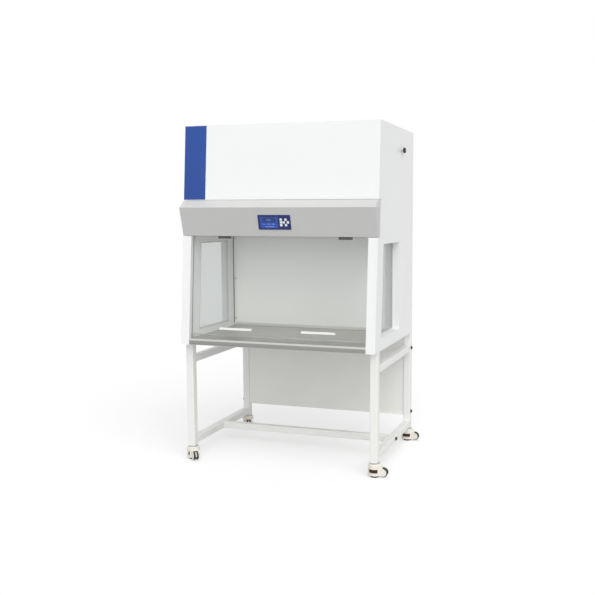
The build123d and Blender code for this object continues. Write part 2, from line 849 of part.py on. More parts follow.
# Motor and outboard bearing, each on its own foot on the plenum's deck.
with BuildPart() as blower_motor:
    with BuildSketch(fan_plane(motor_x)):
        Circle(motor_radius)
    extrude(amount=motor_length)
    with BuildSketch(fan_plane(motor_x + 15.0)):
        with Locations((0, -fan_axis_height / 2)):
            Rectangle(110.0, fan_axis_height)
    extrude(amount=motor_length - 30.0)
    with BuildSketch(fan_plane(motor_x)):
        Circle(shaft_radius + running)
    extrude(amount=52.0, mode=Mode.SUBTRACT)
    with BuildSketch(fan_plane(bearing_x - 10.0)):
        Circle(24.0)
        with Locations((0, -fan_axis_height / 2)):
            Rectangle(36.0, fan_axis_height)
    extrude(amount=20.0)
    with BuildSketch(fan_plane(bearing_x - 10.0)):
        Circle(shaft_radius + running)
    extrude(amount=20.0, mode=Mode.SUBTRACT)
blower_motor.part.label = "blower_motor"

# ---------------------------------------------------------------- lamps and handles
with BuildPart() as led_lamp:
    with BuildSketch(level(ceiling_z)):
        with Locations((0, lamp_y)):
            RectangleRounded(lamp_length, lamp_width, 4.0)
    extrude(amount=-lamp_height)
led_lamp.part.label = "led_lamp"

with BuildPart() as ceiling_handles:
    for side in (-1, 1):
        with BuildSketch(elevation(lamp_y + handle_thickness / 2)):
            with Locations((side * handle_x, ceiling_z)):
                Ellipse(handle_width / 2, handle_drop)
            with Locations((side * handle_x, ceiling_z + handle_drop)):
                Rectangle(2 * handle_width, 2 * handle_drop, mode=Mode.SUBTRACT)
        extrude(amount=handle_thickness)
        with BuildSketch(elevation(lamp_y + handle_thickness / 2)):
            with Locations((side * handle_x, ceiling_z)):
                Ellipse(handle_width / 2 - handle_wall, handle_drop - handle_wall)
            with Locations((side * handle_x, ceiling_z + handle_drop - handle_wall)):
                Rectangle(2 * handle_width, 2 * handle_drop, mode=Mode.SUBTRACT)
        extrude(amount=handle_thickness - handle_wall, mode=Mode.SUBTRACT)
ceiling_handles.part.label = "ceiling_handles"

with BuildPart() as uv_tube:
    with BuildSketch(section(-uv_length / 2)):
        with Locations((back_wall_y - uv_gap, uv_z)):
            Circle(uv_radius)
    extrude(amount=uv_length)
uv_tube.part.label = "uv_tube"

with BuildPart() as uv_lamp_holders:
    for side in (-1, 1):
        with BuildSketch(section(side * uv_length / 2)):
            with Locations((back_wall_y - back_field_proud - uv_gap / 2 - 4.0, uv_z - 1.0)):
                Rectangle(uv_gap + 8.0, 28.0)
        extrude(amount=side * uv_holder)
uv_lamp_holders.part.label = "uv_lamp_holders"

# ---------------------------------------------------------------- fittings
with BuildPart() as test_port:
    with BuildSketch(section(half_width + port_length)):
        with Locations((port_y, port_z)):
            Circle(port_radius)
    extrude(amount=-(port_length + 30.0))
    with BuildSketch(section(half_width - sheet)):
        with Locations((port_y, port_z)):
            Circle(port_radius + 6.0)
    extrude(amount=-4.0)
test_port.part.label = "test_port"

with BuildPart() as test_port_cap:
    with BuildSketch(section(half_width + port_length)):
        with Locations((port_y, port_z)):
            Circle(port_cap_radius)
    extrude(amount=port_cap)
    chamfer(test_port_cap.faces().sort_by(Axis.X)[-1].edges(), 1.5)
test_port_cap.part.label = "test_port_cap"

with BuildPart() as power_inlet:
    with BuildSketch(elevation(cabinet_depth)):
        with Locations((inlet_x, inlet_z)):
            RectangleRounded(inlet_width - touch, inlet_height - touch, 3.0)
    extrude(amount=24.0)
    with BuildSketch(elevation(cabinet_depth - sheet)):
        with Locations((inlet_x, inlet_z)):
            Rectangle(inlet_width + 12.0, inlet_height + 12.0)
    extrude(amount=3.0)
    with BuildSketch(elevation(cabinet_depth)):
        with Locations((inlet_x, inlet_z)):
            RectangleRounded(inlet_width - 18.0, inlet_height - 8.0, 4.0)
    extrude(amount=17.0, mode=Mode.SUBTRACT)
    with BuildSketch(elevation(cabinet_depth - 17.0)):
        with Locations((inlet_x, inlet_z)):
            with GridLocations(9.0, 1.0, 3, 1):
                Rectangle(2.0, 6.0)
    extrude(amount=-12.0)
power_inlet.part.label = "power_inlet"

# ---------------------------------------------------------------- stand
bolt_places = [(crossbar_y + crossbar / 2, lower_rail_z + rail_height / 2)]
bolt_places += [(leg_rear, z) for z in panel_bolt_z]

with BuildPart() as left_stand_frame:
    with BuildSketch(level(leg_bottom)):
        with Locations((-leg_x, leg_front), (-leg_x, leg_rear)):
            RectangleRounded(tube, tube, tube_corner)
    extrude(amount=cabinet_base - leg_bottom)
    for rail_z in (lower_rail_z, upper_rail_z):
        with BuildSketch(elevation(leg_rear)):
            with Locations((-leg_x, rail_z + rail_height / 2)):
                RectangleRounded(tube, rail_height, rail_corner)
        extrude(amount=leg_rear - leg_front)
        with BuildSketch(elevation(leg_rear)):
            with Locations((-leg_x, rail_z + rail_height / 2)):
                Rectangle(tube - 2 * tube_wall, rail_height - 2 * tube_wall)
        extrude(amount=leg_rear - leg_front, mode=Mode.SUBTRACT)
    with BuildSketch(level(leg_bottom + end_plate)):
        with Locations((-leg_x, leg_front), (-leg_x, leg_rear)):
            Rectangle(tube - 2 * tube_wall, tube - 2 * tube_wall)
    extrude(amount=cabinet_base - leg_bottom - 2 * end_plate, mode=Mode.SUBTRACT)
    with BuildSketch(level(leg_bottom)):
        with Locations((-leg_x, leg_front), (-leg_x, leg_rear)):
            Circle(stem_radius + touch)
    extrude(amount=end_plate, mode=Mode.SUBTRACT)
    with BuildSketch(section(-half_width)):
        with Locations(*bolt_places):
            Circle(bolt_radius + touch)
    extrude(amount=tube, mode=Mode.SUBTRACT)
left_stand_frame.part.label = "left_stand_frame"

with BuildPart() as right_stand_frame:
    mirror(left_stand_frame.part, about=middle)
right_stand_frame.part.label = "right_stand_frame"

inside_legs = half_width - tube
crossbar_mid_y = crossbar_y + crossbar / 2
crossbar_mid_z = lower_rail_z + rail_height / 2
with BuildPart() as stand_crossbar:
    with BuildSketch(section(-inside_legs)):
        with Locations((crossbar_mid_y, crossbar_mid_z)):
            RectangleRounded(crossbar, rail_height, rail_corner)
    extrude(amount=2 * inside_legs)
    with BuildSketch(section(-inside_legs + end_plate)):
        with Locations((crossbar_mid_y, crossbar_mid_z)):
            Rectangle(crossbar - 2 * tube_wall, rail_height - 2 * tube_wall)
    extrude(amount=2 * (inside_legs - end_plate), mode=Mode.SUBTRACT)
    with BuildSketch(section(-inside_legs)):
        with Locations((crossbar_mid_y, crossbar_mid_z)):
            Circle(bolt_radius + touch)
    extrude(amount=2 * inside_legs, mode=Mode.SUBTRACT)
stand_crossbar.part.label = "stand_crossbar"

# Sheet between the rear legs, folded back along its sides and forward at its foot.
with BuildPart() as stand_back_panel:
    panel_width = 2 * (inside_legs - touch)
    with BuildSketch(elevation(panel_y + sheet)):
        with Locations((0, (panel_bottom + cabinet_base) / 2)):
            Rectangle(panel_width, cabinet_base - panel_bottom - touch)
        with Locations((inside_legs - panel_hole_inset, panel_bottom + panel_hole_rise)):
            Circle(panel_hole_radius, mode=Mode.SUBTRACT)
    extrude(amount=sheet)
    with BuildSketch(level(panel_bottom)):
        with Locations((0, panel_y + sheet - panel_lip / 2)):
            Rectangle(panel_width - 2 * sheet, panel_lip)
    extrude(amount=sheet)
    for side in (-1, 1):
        with BuildSketch(section(side * (inside_legs - touch))):
            with Locations((panel_y + 11.0, (panel_bottom + cabinet_base - 40.0) / 2)):
                Rectangle(22.0, cabinet_base - panel_bottom - 60.0)
            with Locations(*bolt_places[1:]):
                Circle(bolt_radius + touch, mode=Mode.SUBTRACT)
        extrude(amount=-side * sheet)
stand_back_panel.part.label = "stand_back_panel"

with BuildPart() as stand_bolts:
    for side in (-1, 1):
        for place in bolt_places:
            grip = tube + (end_plate if place is bolt_places[0] else sheet + touch)
            with BuildSketch(section(side * half_width)):
                with Locations(place):
                    Circle(washer_radius)
            extrude(amount=side * washer)
            with BuildSketch(section(side * (half_width + washer))):
                with Locations(place):
                    Circle(bolt_head_radius)
                    RegularPolygon(4.5, 6, mode=Mode.SUBTRACT)
            extrude(amount=side * bolt_head)
            with BuildSketch(section(side * (half_width + washer + bolt_head / 2))):
                with Locations(place):
                    Circle(bolt_radius)
            extrude(amount=-side * (washer + bolt_head / 2 + grip + 9.0))
            with BuildSketch(section(side * (half_width - grip))):
                with Locations(place):
                    RegularPolygon(bolt_head_radius, 6)
            extrude(amount=-side * 7.0)
stand_bolts.part.label = "stand_bolts"

with BuildPart() as panel_screws:
    pan_screws(elevation(back_wall_y), back_wall_screws, 1, sheet)
    pan_screws(elevation(cabinet_depth), rear_screws, -1, 2 * sheet)
panel_screws.part.label = "panel_screws"

# ---------------------------------------------------------------- casters
# One levelling caster at the origin, wheel towards +X; four copies are turned and placed.
axle_z = wheel_lift + wheel_radius
half_tread = tread + web / 2
fork = half_tread + side_gap
dial_top = dial_bottom + dial_height
plate_bottom = leg_bottom - swivel_plate
stud_bottom = plate_bottom - stud_length


def side_view(y):
    """Plane square to the caster's wheels; sketches in (x, z) and extrudes towards -Y."""
    return Plane(origin=(0, y, 0), x_dir=(1, 0, 0), z_dir=(0, -1, 0))


with BuildPart() as caster_plate:
    with BuildSketch(Plane.XY.offset(plate_bottom)):
        Circle(swivel_plate_radius)
    extrude(amount=swivel_plate)
    with BuildSketch(Plane.XY.offset(plate_bottom)):
        Circle(neck_radius)
    extrude(amount=-neck)
    with BuildSketch(Plane.XY.offset(leg_bottom)):
        Circle(stem_radius)
    extrude(amount=stem_height)
    with BuildSketch(Plane.XY.offset(plate_bottom)):
        Circle(stud_radius)
    extrude(amount=-stud_length)
    with BuildSketch(Plane.XY.offset(stud_bottom)):
        Circle(retainer_radius)
    extrude(amount=retainer)

with BuildPart() as caster_housing:
    with BuildSketch(Plane.XY.offset(body_bottom)):
        Circle(body_radius)
    extrude(amount=body_top - body_bottom)
    chamfer(caster_housing.faces().sort_by(Axis.Z)[-1].edges(), body_chamfer)
    with BuildSketch(side_view(fork + cheek)):
        with Locations((wheel_offset, axle_z)):
            Circle(cheek_radius)
        with Locations((25.0, 38.0)):
            Rectangle(20.0, 52.0)
        make_hull()
    extrude(amount=2 * (fork + cheek))
    with BuildSketch(side_view(fork)):
        with Locations((wheel_offset, axle_z)):
            Circle(wheel_radius + 2.0)
        with Locations((wheel_offset, axle_z / 2)):
            Rectangle(2 * (wheel_radius + 1.5), axle_z)
    extrude(amount=2 * fork, mode=Mode.SUBTRACT)
    with BuildSketch(Plane.XY.offset(dial_bottom - touch)):
        Circle(dial_radius + 1.0)
    extrude(amount=dial_height + 2 * slot_margin, mode=Mode.SUBTRACT)
    with BuildSketch(Plane.XY.offset(dial_bottom - touch)):
        Rectangle(slot_width, 3 * body_radius)
    extrude(amount=dial_height + 2 * slot_margin, mode=Mode.SUBTRACT)
    with BuildSketch(Plane.XY.offset(dial_top)):
        Circle(retainer_radius + 4.0)
    extrude(amount=stud_bottom + retainer + touch - dial_top, mode=Mode.SUBTRACT)
    with BuildSketch(Plane.XY):
        Circle(pad_radius + 1.0)
    extrude(amount=pad_height + pad_travel + 1.0, mode=Mode.SUBTRACT)
    with BuildSketch(Plane.XY):
        Circle(screw_radius + 2.0)
    extrude(amount=dial_bottom, mode=Mode.SUBTRACT)
    with BuildSketch(Plane.XY.offset(dial_top)):
        Circle(stud_radius + running)
    extrude(amount=body_top - dial_top, mode=Mode.SUBTRACT)
    with BuildSketch(side_view(fork + cheek + 1.2)):
        with Locations((wheel_offset, axle_z)):
            Circle(axle_radius)
    extrude(amount=2 * (fork + cheek + 1.2))
    for side in (-1, 1):
        with BuildSketch(side_view(side * (fork + cheek))):
            with Locations((wheel_offset, axle_z)):
                Circle(axle_radius + 2.5)
        extrude(amount=-side * 1.2)

with BuildPart() as caster_wheel:
    for side in (-1, 1):
        with BuildSketch(side_view(side * half_tread)):
            with Locations((wheel_offset, axle_z)):
                Circle(wheel_radius)
        extrude(amount=side * tread)
    rims = caster_wheel.edges().filter_by(GeomType.CIRCLE)
    chamfer(rims, rim_chamfer)
    with BuildSketch(side_view(half_tread - tread)):
        with Locations((wheel_offset, axle_z)):
            Circle(hub_radius)
    extrude(amount=web)
    with BuildSketch(side_view(half_tread)):
        with Locations((wheel_offset, axle_z)):
            Circle(axle_radius + running)
    extrude(amount=2 * half_tread, mode=Mode.SUBTRACT)

with BuildPart() as caster_dial:
    with BuildSketch(Plane.XY.offset(dial_bottom)):
        Circle(dial_radius)
        with PolarLocations(dial_radius + 1.5, dial_notches):
            Circle(3.0, mode=Mode.SUBTRACT)
        Circle(screw_radius + running, mode=Mode.SUBTRACT)
    extrude(amount=dial_height)

with BuildPart() as caster_foot:
    with BuildSketch(Plane.XY):
        Circle(pad_radius)
    extrude(amount=pad_height)
    chamfer(caster_foot.faces().sort_by(Axis.Z)[-1].edges(), 2.5)
    with BuildSketch(Plane.XY.offset(pad_height - 1.0)):
        Circle(screw_radius)
    extrude(amount=screw_top - pad_height + 1.0)


def caster_place(corner):
    """Where a corner's caster stands, turned to its own heading."""
    x = leg_x if corner.endswith("right") else -leg_x
    y = leg_front if corner.startswith("front") else leg_rear
    return Location((cabinet_x + x, cabinet_y + y, 0), (0, 0, headings[corner]))


with BuildPart() as caster_plates:
    for corner in headings:
        add(caster_plate.part.moved(caster_place(corner)))
caster_plates.part.label = "caster_plates"

# ---------------------------------------------------------------- output
os.makedirs("parts", exist_ok=True)
pieces = [
    left_side_panel, right_side_panel, left_liner, right_liner, window_gaskets, window_panes,
    base_panel, rear_panel, roof_panel, prefilter_grille, prefilter, front_cover, apron,
    display_bezel, display_screen, controller_box, worktop, back_wall, ceiling_panel,
    diffuser_screen, sash_guides, sash_glass, sash_pulls, filter_frame, filter_media,
    plenum_box, blower_scroll, blower_wheel, blower_shaft, blower_motor, led_lamp,
    ceiling_handles, uv_tube, uv_lamp_holders, test_port, test_port_cap, power_inlet,
    panel_screws, left_stand_frame, right_stand_frame, stand_crossbar, stand_back_panel,
    stand_bolts, caster_plates,
]
for piece in pieces:
    export_step(piece.part, "parts/" + piece.part.label + ".step")

caster_pieces = {
    "housing": caster_housing,
    "wheel": caster_wheel,
    "dial": caster_dial,
    "foot": caster_foot,
}
for corner in headings:
    for name, piece in caster_pieces.items():
        placed = piece.part.moved(caster_place(corner))
        placed.label = corner + "_caster_" + name
        export_step(placed, "parts/" + placed.label + ".step")
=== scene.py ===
import math

import bpy
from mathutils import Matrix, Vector


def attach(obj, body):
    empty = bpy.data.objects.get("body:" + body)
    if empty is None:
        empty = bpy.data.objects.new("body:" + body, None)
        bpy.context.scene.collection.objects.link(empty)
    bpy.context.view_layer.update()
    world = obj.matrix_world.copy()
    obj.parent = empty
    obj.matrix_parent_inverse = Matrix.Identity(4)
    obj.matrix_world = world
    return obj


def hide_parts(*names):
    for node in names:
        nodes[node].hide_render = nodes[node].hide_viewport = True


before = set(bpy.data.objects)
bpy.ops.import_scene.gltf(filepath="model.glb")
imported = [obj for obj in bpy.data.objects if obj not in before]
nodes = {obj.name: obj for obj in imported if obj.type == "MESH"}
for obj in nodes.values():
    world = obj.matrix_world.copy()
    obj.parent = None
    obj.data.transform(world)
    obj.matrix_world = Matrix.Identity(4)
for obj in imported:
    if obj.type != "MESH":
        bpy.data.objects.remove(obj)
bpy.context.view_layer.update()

# ------------------------------------------------------------ places taken from the solids
CABINET_X = -0.0205            # the cabinet's middle plane
CABINET_Y = -0.45075           # the front edge of its base
BASE_Z = 0.717
CABINET_HEIGHT = 1.288
FRONT_SETBACK = 0.108          # how far the front leans back from the base to the top
LEAN = math.atan2(FRONT_SETBACK, CABINET_HEIGHT)
CHAMBER_HALF = 0.546
BACK_WALL_Y = CABINET_Y + 0.610
CEILING_Z = 1.376
CONSOLE_FOOT_Z = 1.360
CONSOLE_HEIGHT = 0.166         # from its foot to its bevel
CONSOLE_BEVEL_Z = CONSOLE_FOOT_Z + CONSOLE_HEIGHT
CONSOLE_TOP_Z = 1.569
WORKTOP_Z = 0.755
NOSE_FOOT_Z = 0.719
NOSE_LIP_Z = WORKTOP_Z - 0.011  # where the worktop's nose turns from painted shade to a painted highlight
UPSTAND_Z = 0.773              # the top of the worktop's rear upstand


def front_y(z):
    """The sloping front, at a height."""
    return CABINET_Y + FRONT_SETBACK * (z - BASE_Z) / CABINET_HEIGHT


def srgb(red, green, blue):
    """A colour written 0 to 255, as the shader wants it."""
    def channel(value):
        value /= 255.0
        return value / 12.92 if value <= 0.04045 else ((value + 0.055) / 1.055) ** 2.4
    return (channel(red), channel(green), channel(blue), 1.0)


# ------------------------------------------------------------ shader node groups
NOISE_LOW = 0.3
NOISE_HIGH = 0.7
DUST_COLOUR = (0.55, 0.53, 0.50, 1)
COAT_RELIEF = 0.0002
FINE_RELIEF = 0.0001
MIX_FROM, MIX_TO, MIX_RESULT = 6, 7, 2      # the colour sockets of a Mix node


def new_group(name, inputs, outputs):
    """An empty node group with its sockets: (name, kind, default)."""
    group = bpy.data.node_groups.new(name, "ShaderNodeTree")
    for label, kind, default in inputs:
        socket = group.interface.new_socket(name=label, in_out="INPUT", socket_type=kind)
        socket.default_value = default
    for label, kind in outputs:
        group.interface.new_socket(name=label, in_out="OUTPUT", socket_type=kind)
    start = group.nodes.new("NodeGroupInput")
    end = group.nodes.new("NodeGroupOutput")
    return group, start, end


def math_node(tree, operation, first, second, clamp=False):
    """Works out a value from two others, each a socket or a number."""
    node = tree.nodes.new("ShaderNodeMath")
    node.operation = operation
    node.use_clamp = clamp
    for index, value in enumerate((first, second)):
        if hasattr(value, "is_output"):
            tree.links.new(value, node.inputs[index])
        else:
            node.inputs[index].default_value = value
    return node.outputs[0]


def noise(tree, vector, scale, detail=2.0, rough=0.5):
    """Cloudy values around a half."""
    node = tree.nodes.new("ShaderNodeTexNoise")
    node.inputs["Scale"].default_value = scale
    node.inputs["Detail"].default_value = detail
    node.inputs["Roughness"].default_value = rough
    tree.links.new(vector, node.inputs["Vector"])
    return node.outputs["Fac"]


def spread(tree, value, low, high):
    """Stretches the middle of a noise over low to high, each a socket or a number."""
    node = tree.nodes.new("ShaderNodeMapRange")
    node.clamp = True
    tree.links.new(value, node.inputs["Value"])
    node.inputs["From Min"].default_value = NOISE_LOW
    node.inputs["From Max"].default_value = NOISE_HIGH
    for label, limit in (("To Min", low), ("To Max", high)):
        if hasattr(limit, "is_output"):
            tree.links.new(limit, node.inputs[label])
        else:
            node.inputs[label].default_value = limit
    return node.outputs["Result"]


def shade(tree, colour, factor):
    """Multiplies a colour by a grey factor."""
    node = tree.nodes.new("ShaderNodeVectorMath")
    node.operation = "SCALE"
    tree.links.new(colour, node.inputs[0])
    tree.links.new(factor, node.inputs["Scale"])
    return node.outputs[0]


def object_vector(tree):
    """The object's own coordinates."""
    return tree.nodes.new("ShaderNodeTexCoord").outputs["Object"]


def bump(tree, strength, height, distance):
    """The normal of a fine relief."""
    node = tree.nodes.new("ShaderNodeBump")
    node.inputs["Distance"].default_value = distance
    tree.links.new(strength, node.inputs["Strength"])
    tree.links.new(height, node.inputs["Height"])
    return node.outputs["Normal"]


def seen_by_eye(tree):
    """One for rays from the camera, a mirror or glass, and nought for rays that carry light."""
    path = tree.nodes.new("ShaderNodeLightPath")
    direct = math_node(tree, "MAXIMUM", path.outputs["Is Camera Ray"], path.outputs["Is Glossy Ray"])
    return math_node(tree, "MAXIMUM", direct, path.outputs["Is Transmission Ray"])


SURFACE_OUTPUTS = (("Colour", "NodeSocketColor"), ("Roughness", "NodeSocketFloat"),
                   ("Normal", "NodeSocketVector"))

# Powder coat: soft mottling, fine orange peel, a little settled dust on upward faces.
coat_group, start, end = new_group(
    "powder_coat",
    [("Colour", "NodeSocketColor", (0.8, 0.8, 0.8, 1)), ("Mottle", "NodeSocketFloat", 0.03),
     ("Gloss Low", "NodeSocketFloat", 0.32), ("Gloss High", "NodeSocketFloat", 0.44),
     ("Peel", "NodeSocketFloat", 0.12), ("Dust", "NodeSocketFloat", 0.06)],
    SURFACE_OUTPUTS)
place = object_vector(coat_group)
clouds = noise(coat_group, place, 2.3, 3.0, 0.6)
patches = noise(coat_group, place, 17.0, 2.0)
low = math_node(coat_group, "SUBTRACT", 1.0, start.outputs["Mottle"])
tone = spread(coat_group, clouds, low, 1.0)
toned = shade(coat_group, start.outputs["Colour"], tone)
geometry = coat_group.nodes.new("ShaderNodeNewGeometry")
facing = coat_group.nodes.new("ShaderNodeSeparateXYZ")
coat_group.links.new(geometry.outputs["Normal"], facing.inputs[0])
upward = math_node(coat_group, "MULTIPLY", facing.outputs["Z"], start.outputs["Dust"], clamp=True)
dusting = math_node(coat_group, "MULTIPLY", upward, spread(coat_group, patches, 0.3, 1.0), clamp=True)
dusty = coat_group.nodes.new("ShaderNodeMix")
dusty.data_type = "RGBA"
coat_group.links.new(dusting, dusty.inputs["Factor"])
coat_group.links.new(toned, dusty.inputs[MIX_FROM])
dusty.inputs[MIX_TO].default_value = DUST_COLOUR
gloss = spread(coat_group, patches, start.outputs["Gloss Low"], start.outputs["Gloss High"])
grain = noise(coat_group, place, 620.0, 2.0)
ripple = noise(coat_group, place, 210.0, 1.0)
relief = math_node(coat_group, "ADD", grain, math_node(coat_group, "MULTIPLY", ripple, 1.5))
coat_group.links.new(dusty.outputs[MIX_RESULT], end.inputs["Colour"])
coat_group.links.new(gloss, end.inputs["Roughness"])
coat_group.links.new(bump(coat_group, start.outputs["Peel"], relief, COAT_RELIEF), end.inputs["Normal"])

# Drawn or brushed metal: long fine lines along one direction, and soft smudges.
brush_group, start, end = new_group(
    "brushed_lines",
    [("Colour", "NodeSocketColor", (0.6, 0.6, 0.6, 1)),
     ("Line Scale", "NodeSocketVector", (2.0, 420.0, 420.0)),
     ("Gloss Low", "NodeSocketFloat", 0.2), ("Gloss High", "NodeSocketFloat", 0.34),
     ("Contrast", "NodeSocketFloat", 0.12), ("Depth", "NodeSocketFloat", 0.1)],
    SURFACE_OUTPUTS)
place = object_vector(brush_group)
drawn = brush_group.nodes.new("ShaderNodeVectorMath")
drawn.operation = "MULTIPLY"
brush_group.links.new(place, drawn.inputs[0])
brush_group.links.new(start.outputs["Line Scale"], drawn.inputs[1])
lines = noise(brush_group, drawn.outputs[0], 1.0, 4.0, 0.65)
smudge = noise(brush_group, place, 6.0, 3.0, 0.6)
low = math_node(brush_group, "SUBTRACT", 1.0, start.outputs["Contrast"])
brush_group.links.new(shade(brush_group, start.outputs["Colour"], spread(brush_group, lines, low, 1.0)),
                      end.inputs["Colour"])
blend = math_node(brush_group, "ADD", math_node(brush_group, "MULTIPLY", lines, 0.6),
                  math_node(brush_group, "MULTIPLY", smudge, 0.4))
brush_group.links.new(spread(brush_group, blend, start.outputs["Gloss Low"], start.outputs["Gloss High"]),
                      end.inputs["Roughness"])
brush_group.links.new(bump(brush_group, start.outputs["Depth"], lines, FINE_RELIEF), end.inputs["Normal"])

# Moulded plastic and rubber: fine leather-like grain and handling marks.
mould_group, start, end = new_group(
    "moulded_grain",
    [("Colour", "NodeSocketColor", (0.1, 0.1, 0.1, 1)), ("Mottle", "NodeSocketFloat", 0.1),
     ("Gloss Low", "NodeSocketFloat", 0.4), ("Gloss High", "NodeSocketFloat", 0.6),
     ("Grain Scale", "NodeSocketFloat", 900.0), ("Depth", "NodeSocketFloat", 0.2)],
    SURFACE_OUTPUTS)
place = object_vector(mould_group)
cells = mould_group.nodes.new("ShaderNodeTexVoronoi")
mould_group.links.new(place, cells.inputs["Vector"])
mould_group.links.new(start.outputs["Grain Scale"], cells.inputs["Scale"])
wipes = noise(mould_group, place, 35.0, 3.0, 0.6)
low = math_node(mould_group, "SUBTRACT", 1.0, start.outputs["Mottle"])
mould_group.links.new(shade(mould_group, start.outputs["Colour"], spread(mould_group, wipes, low, 1.0)),
                      end.inputs["Colour"])
mould_group.links.new(spread(mould_group, wipes, start.outputs["Gloss Low"], start.outputs["Gloss High"]),
                      end.inputs["Roughness"])
dimples = bump(mould_group, start.outputs["Depth"], cells.outputs["Distance"], FINE_RELIEF)
mould_group.links.new(dimples, end.inputs["Normal"])


# ------------------------------------------------------------ materials
def blank_material(name):
    """A new material with its tree and its Principled shader."""
    material = bpy.data.materials.new(name)
    material.use_nodes = True
    tree = material.node_tree
    return material, tree, tree.nodes["Principled BSDF"]


def grouped_material(name, group, values, **sockets):
    """A Principled material whose colour, roughness and normal come from one group."""
    material, tree, shader = blank_material(name)
    node = tree.nodes.new("ShaderNodeGroup")
    node.node_tree = group
    for label, value in values.items():
        node.inputs[label].default_value = value
    tree.links.new(node.outputs["Colour"], shader.inputs["Base Color"])
    tree.links.new(node.outputs["Roughness"], shader.inputs["Roughness"])
    tree.links.new(node.outputs["Normal"], shader.inputs["Normal"])
    for label, value in sockets.items():
        shader.inputs[label.replace("_", " ")].default_value = value
    return material


def coat(name, colour, mottle=0.02, low=0.32, high=0.42, peel=0.12, dust=0.05):
    """Powder coat or enamel."""
    return grouped_material(name, coat_group, {
        "Colour": srgb(*colour), "Mottle": mottle, "Gloss Low": low, "Gloss High": high,
        "Peel": peel, "Dust": dust})


def brushed(name, colour, lines, low, high, contrast, depth, metallic=1.0):
    """Metal with lines drawn along the axis whose scale is smallest."""
    return grouped_material(name, brush_group, {
        "Colour": srgb(*colour), "Line Scale": lines, "Gloss Low": low, "Gloss High": high,
        "Contrast": contrast, "Depth": depth}, Metallic=metallic)


def moulded(name, colour, low, high, mottle, scale, depth):
    """Plastic, rubber, paper or printed film."""
    return grouped_material(name, mould_group, {
        "Colour": srgb(*colour), "Mottle": mottle, "Gloss Low": low, "Gloss High": high,
        "Grain Scale": scale, "Depth": depth})


BAND_LIMIT = 2.0               # a ramp holds no more than 1, so it holds each factor divided by this


def paint_light_by_height(material, steps):
    """Paints light and shade into a finish between heights by lightening or darkening its colour: (height
    in metres, factor) from low to high.
    """
    tree = material.node_tree
    shader = tree.nodes["Principled BSDF"]
    colour = shader.inputs["Base Color"].links[0].from_socket
    axes = tree.nodes.new("ShaderNodeSeparateXYZ")
    tree.links.new(object_vector(tree), axes.inputs[0])
    lowest, highest = steps[0][0], steps[-1][0]
    height = tree.nodes.new("ShaderNodeMapRange")
    tree.links.new(axes.outputs["Z"], height.inputs["Value"])
    height.inputs["From Min"].default_value = lowest
    height.inputs["From Max"].default_value = highest
    ramp = tree.nodes.new("ShaderNodeValToRGB")
    points = ramp.color_ramp.elements
    while len(points) < len(steps):
        points.new(0.5)
    for point, (z, factor) in zip(points, steps):
        point.position = (z - lowest) / (highest - lowest)
        point.color = (factor / BAND_LIMIT, factor / BAND_LIMIT, factor / BAND_LIMIT, 1)
    tree.links.new(height.outputs["Result"], ramp.inputs[0])
    factor = math_node(tree, "MULTIPLY", ramp.outputs["Color"], BAND_LIMIT)
    tree.links.new(shade(tree, colour, factor), shader.inputs["Base Color"])


GLASS_IOR = 1.5
WIPE_MARKS = 0.02


def glass(name, colour, rough=0.0):
    """Glass with faint wipe marks. It tints what is seen through it, and lets light pass untinted."""
    material, tree, shader = blank_material(name)
    shader.inputs["Base Color"].default_value = srgb(*colour)
    shader.inputs["Transmission Weight"].default_value = 1.0
    shader.inputs["IOR"].default_value = GLASS_IOR
    place = object_vector(tree)
    wipes = noise(tree, place, 5.0, 4.0, 0.7)
    tree.links.new(spread(tree, wipes, rough, rough + WIPE_MARKS), shader.inputs["Roughness"])
    passing = tree.nodes.new("ShaderNodeBsdfTransparent")
    passing.inputs["Color"].default_value = (1, 1, 1, 1)
    path = tree.nodes.new("ShaderNodeLightPath")
    through = math_node(tree, "MAXIMUM", path.outputs["Is Shadow Ray"], path.outputs["Is Diffuse Ray"])
    choose = tree.nodes.new("ShaderNodeMixShader")
    tree.links.new(through, choose.inputs[0])
    tree.links.new(shader.outputs[0], choose.inputs[1])
    tree.links.new(passing.outputs[0], choose.inputs[2])
    tree.links.new(choose.outputs[0], tree.nodes["Material Output"].inputs["Surface"])
    return material


white_coat = coat("white_coat", (242, 243, 243))
grey_coat = coat("grey_coat", (197, 197, 196), mottle=0.03)
liner_coat = coat("liner_coat", (235, 236, 234), mottle=0.03)
back_wall_coat = coat("back_wall_coat", (244, 245, 243), mottle=0.02)
stand_coat = coat("stand_coat", (240, 240, 237), mottle=0.03, peel=0.18, dust=0.10)
panel_coat = coat("rear_sheet_coat", (239, 240, 235), mottle=0.05, dust=0.1)
motor_coat = coat("motor_coat", (60, 62, 66), mottle=0.1, peel=0.3)
cream_coat = coat("caster_cream", (238, 233, 223), mottle=0.05, low=0.3, high=0.45, peel=0.25, dust=0.1)
stainless = brushed("worktop_stainless", (186, 186, 182), (1.2, 380.0, 380.0), 0.30, 0.44, 0.07, 0.05, 0.8)
galvanised = brushed("zinc_sheet", (176, 180, 184), (24.0, 30.0, 24.0), 0.35, 0.55, 0.25, 0.05)
bright_steel = brushed("turned_steel", (200, 200, 200), (300.0, 300.0, 900.0), 0.18, 0.3, 0.1, 0.08)
zinc = brushed("fastener_zinc", (188, 188, 190), (500.0, 500.0, 500.0), 0.25, 0.4, 0.15, 0.08)
black_oxide = brushed("bolt_black_oxide", (58, 58, 62), (500.0, 500.0, 500.0), 0.28, 0.42, 0.2, 0.08)
aluminium = brushed("anodised_aluminium", (206, 208, 209), (500.0, 500.0, 4.0), 0.32, 0.45, 0.08, 0.08)
CAP_PAINTED_LIGHT = 1.12
UPSTAND_PAINTED_HIGHLIGHT = 1.45
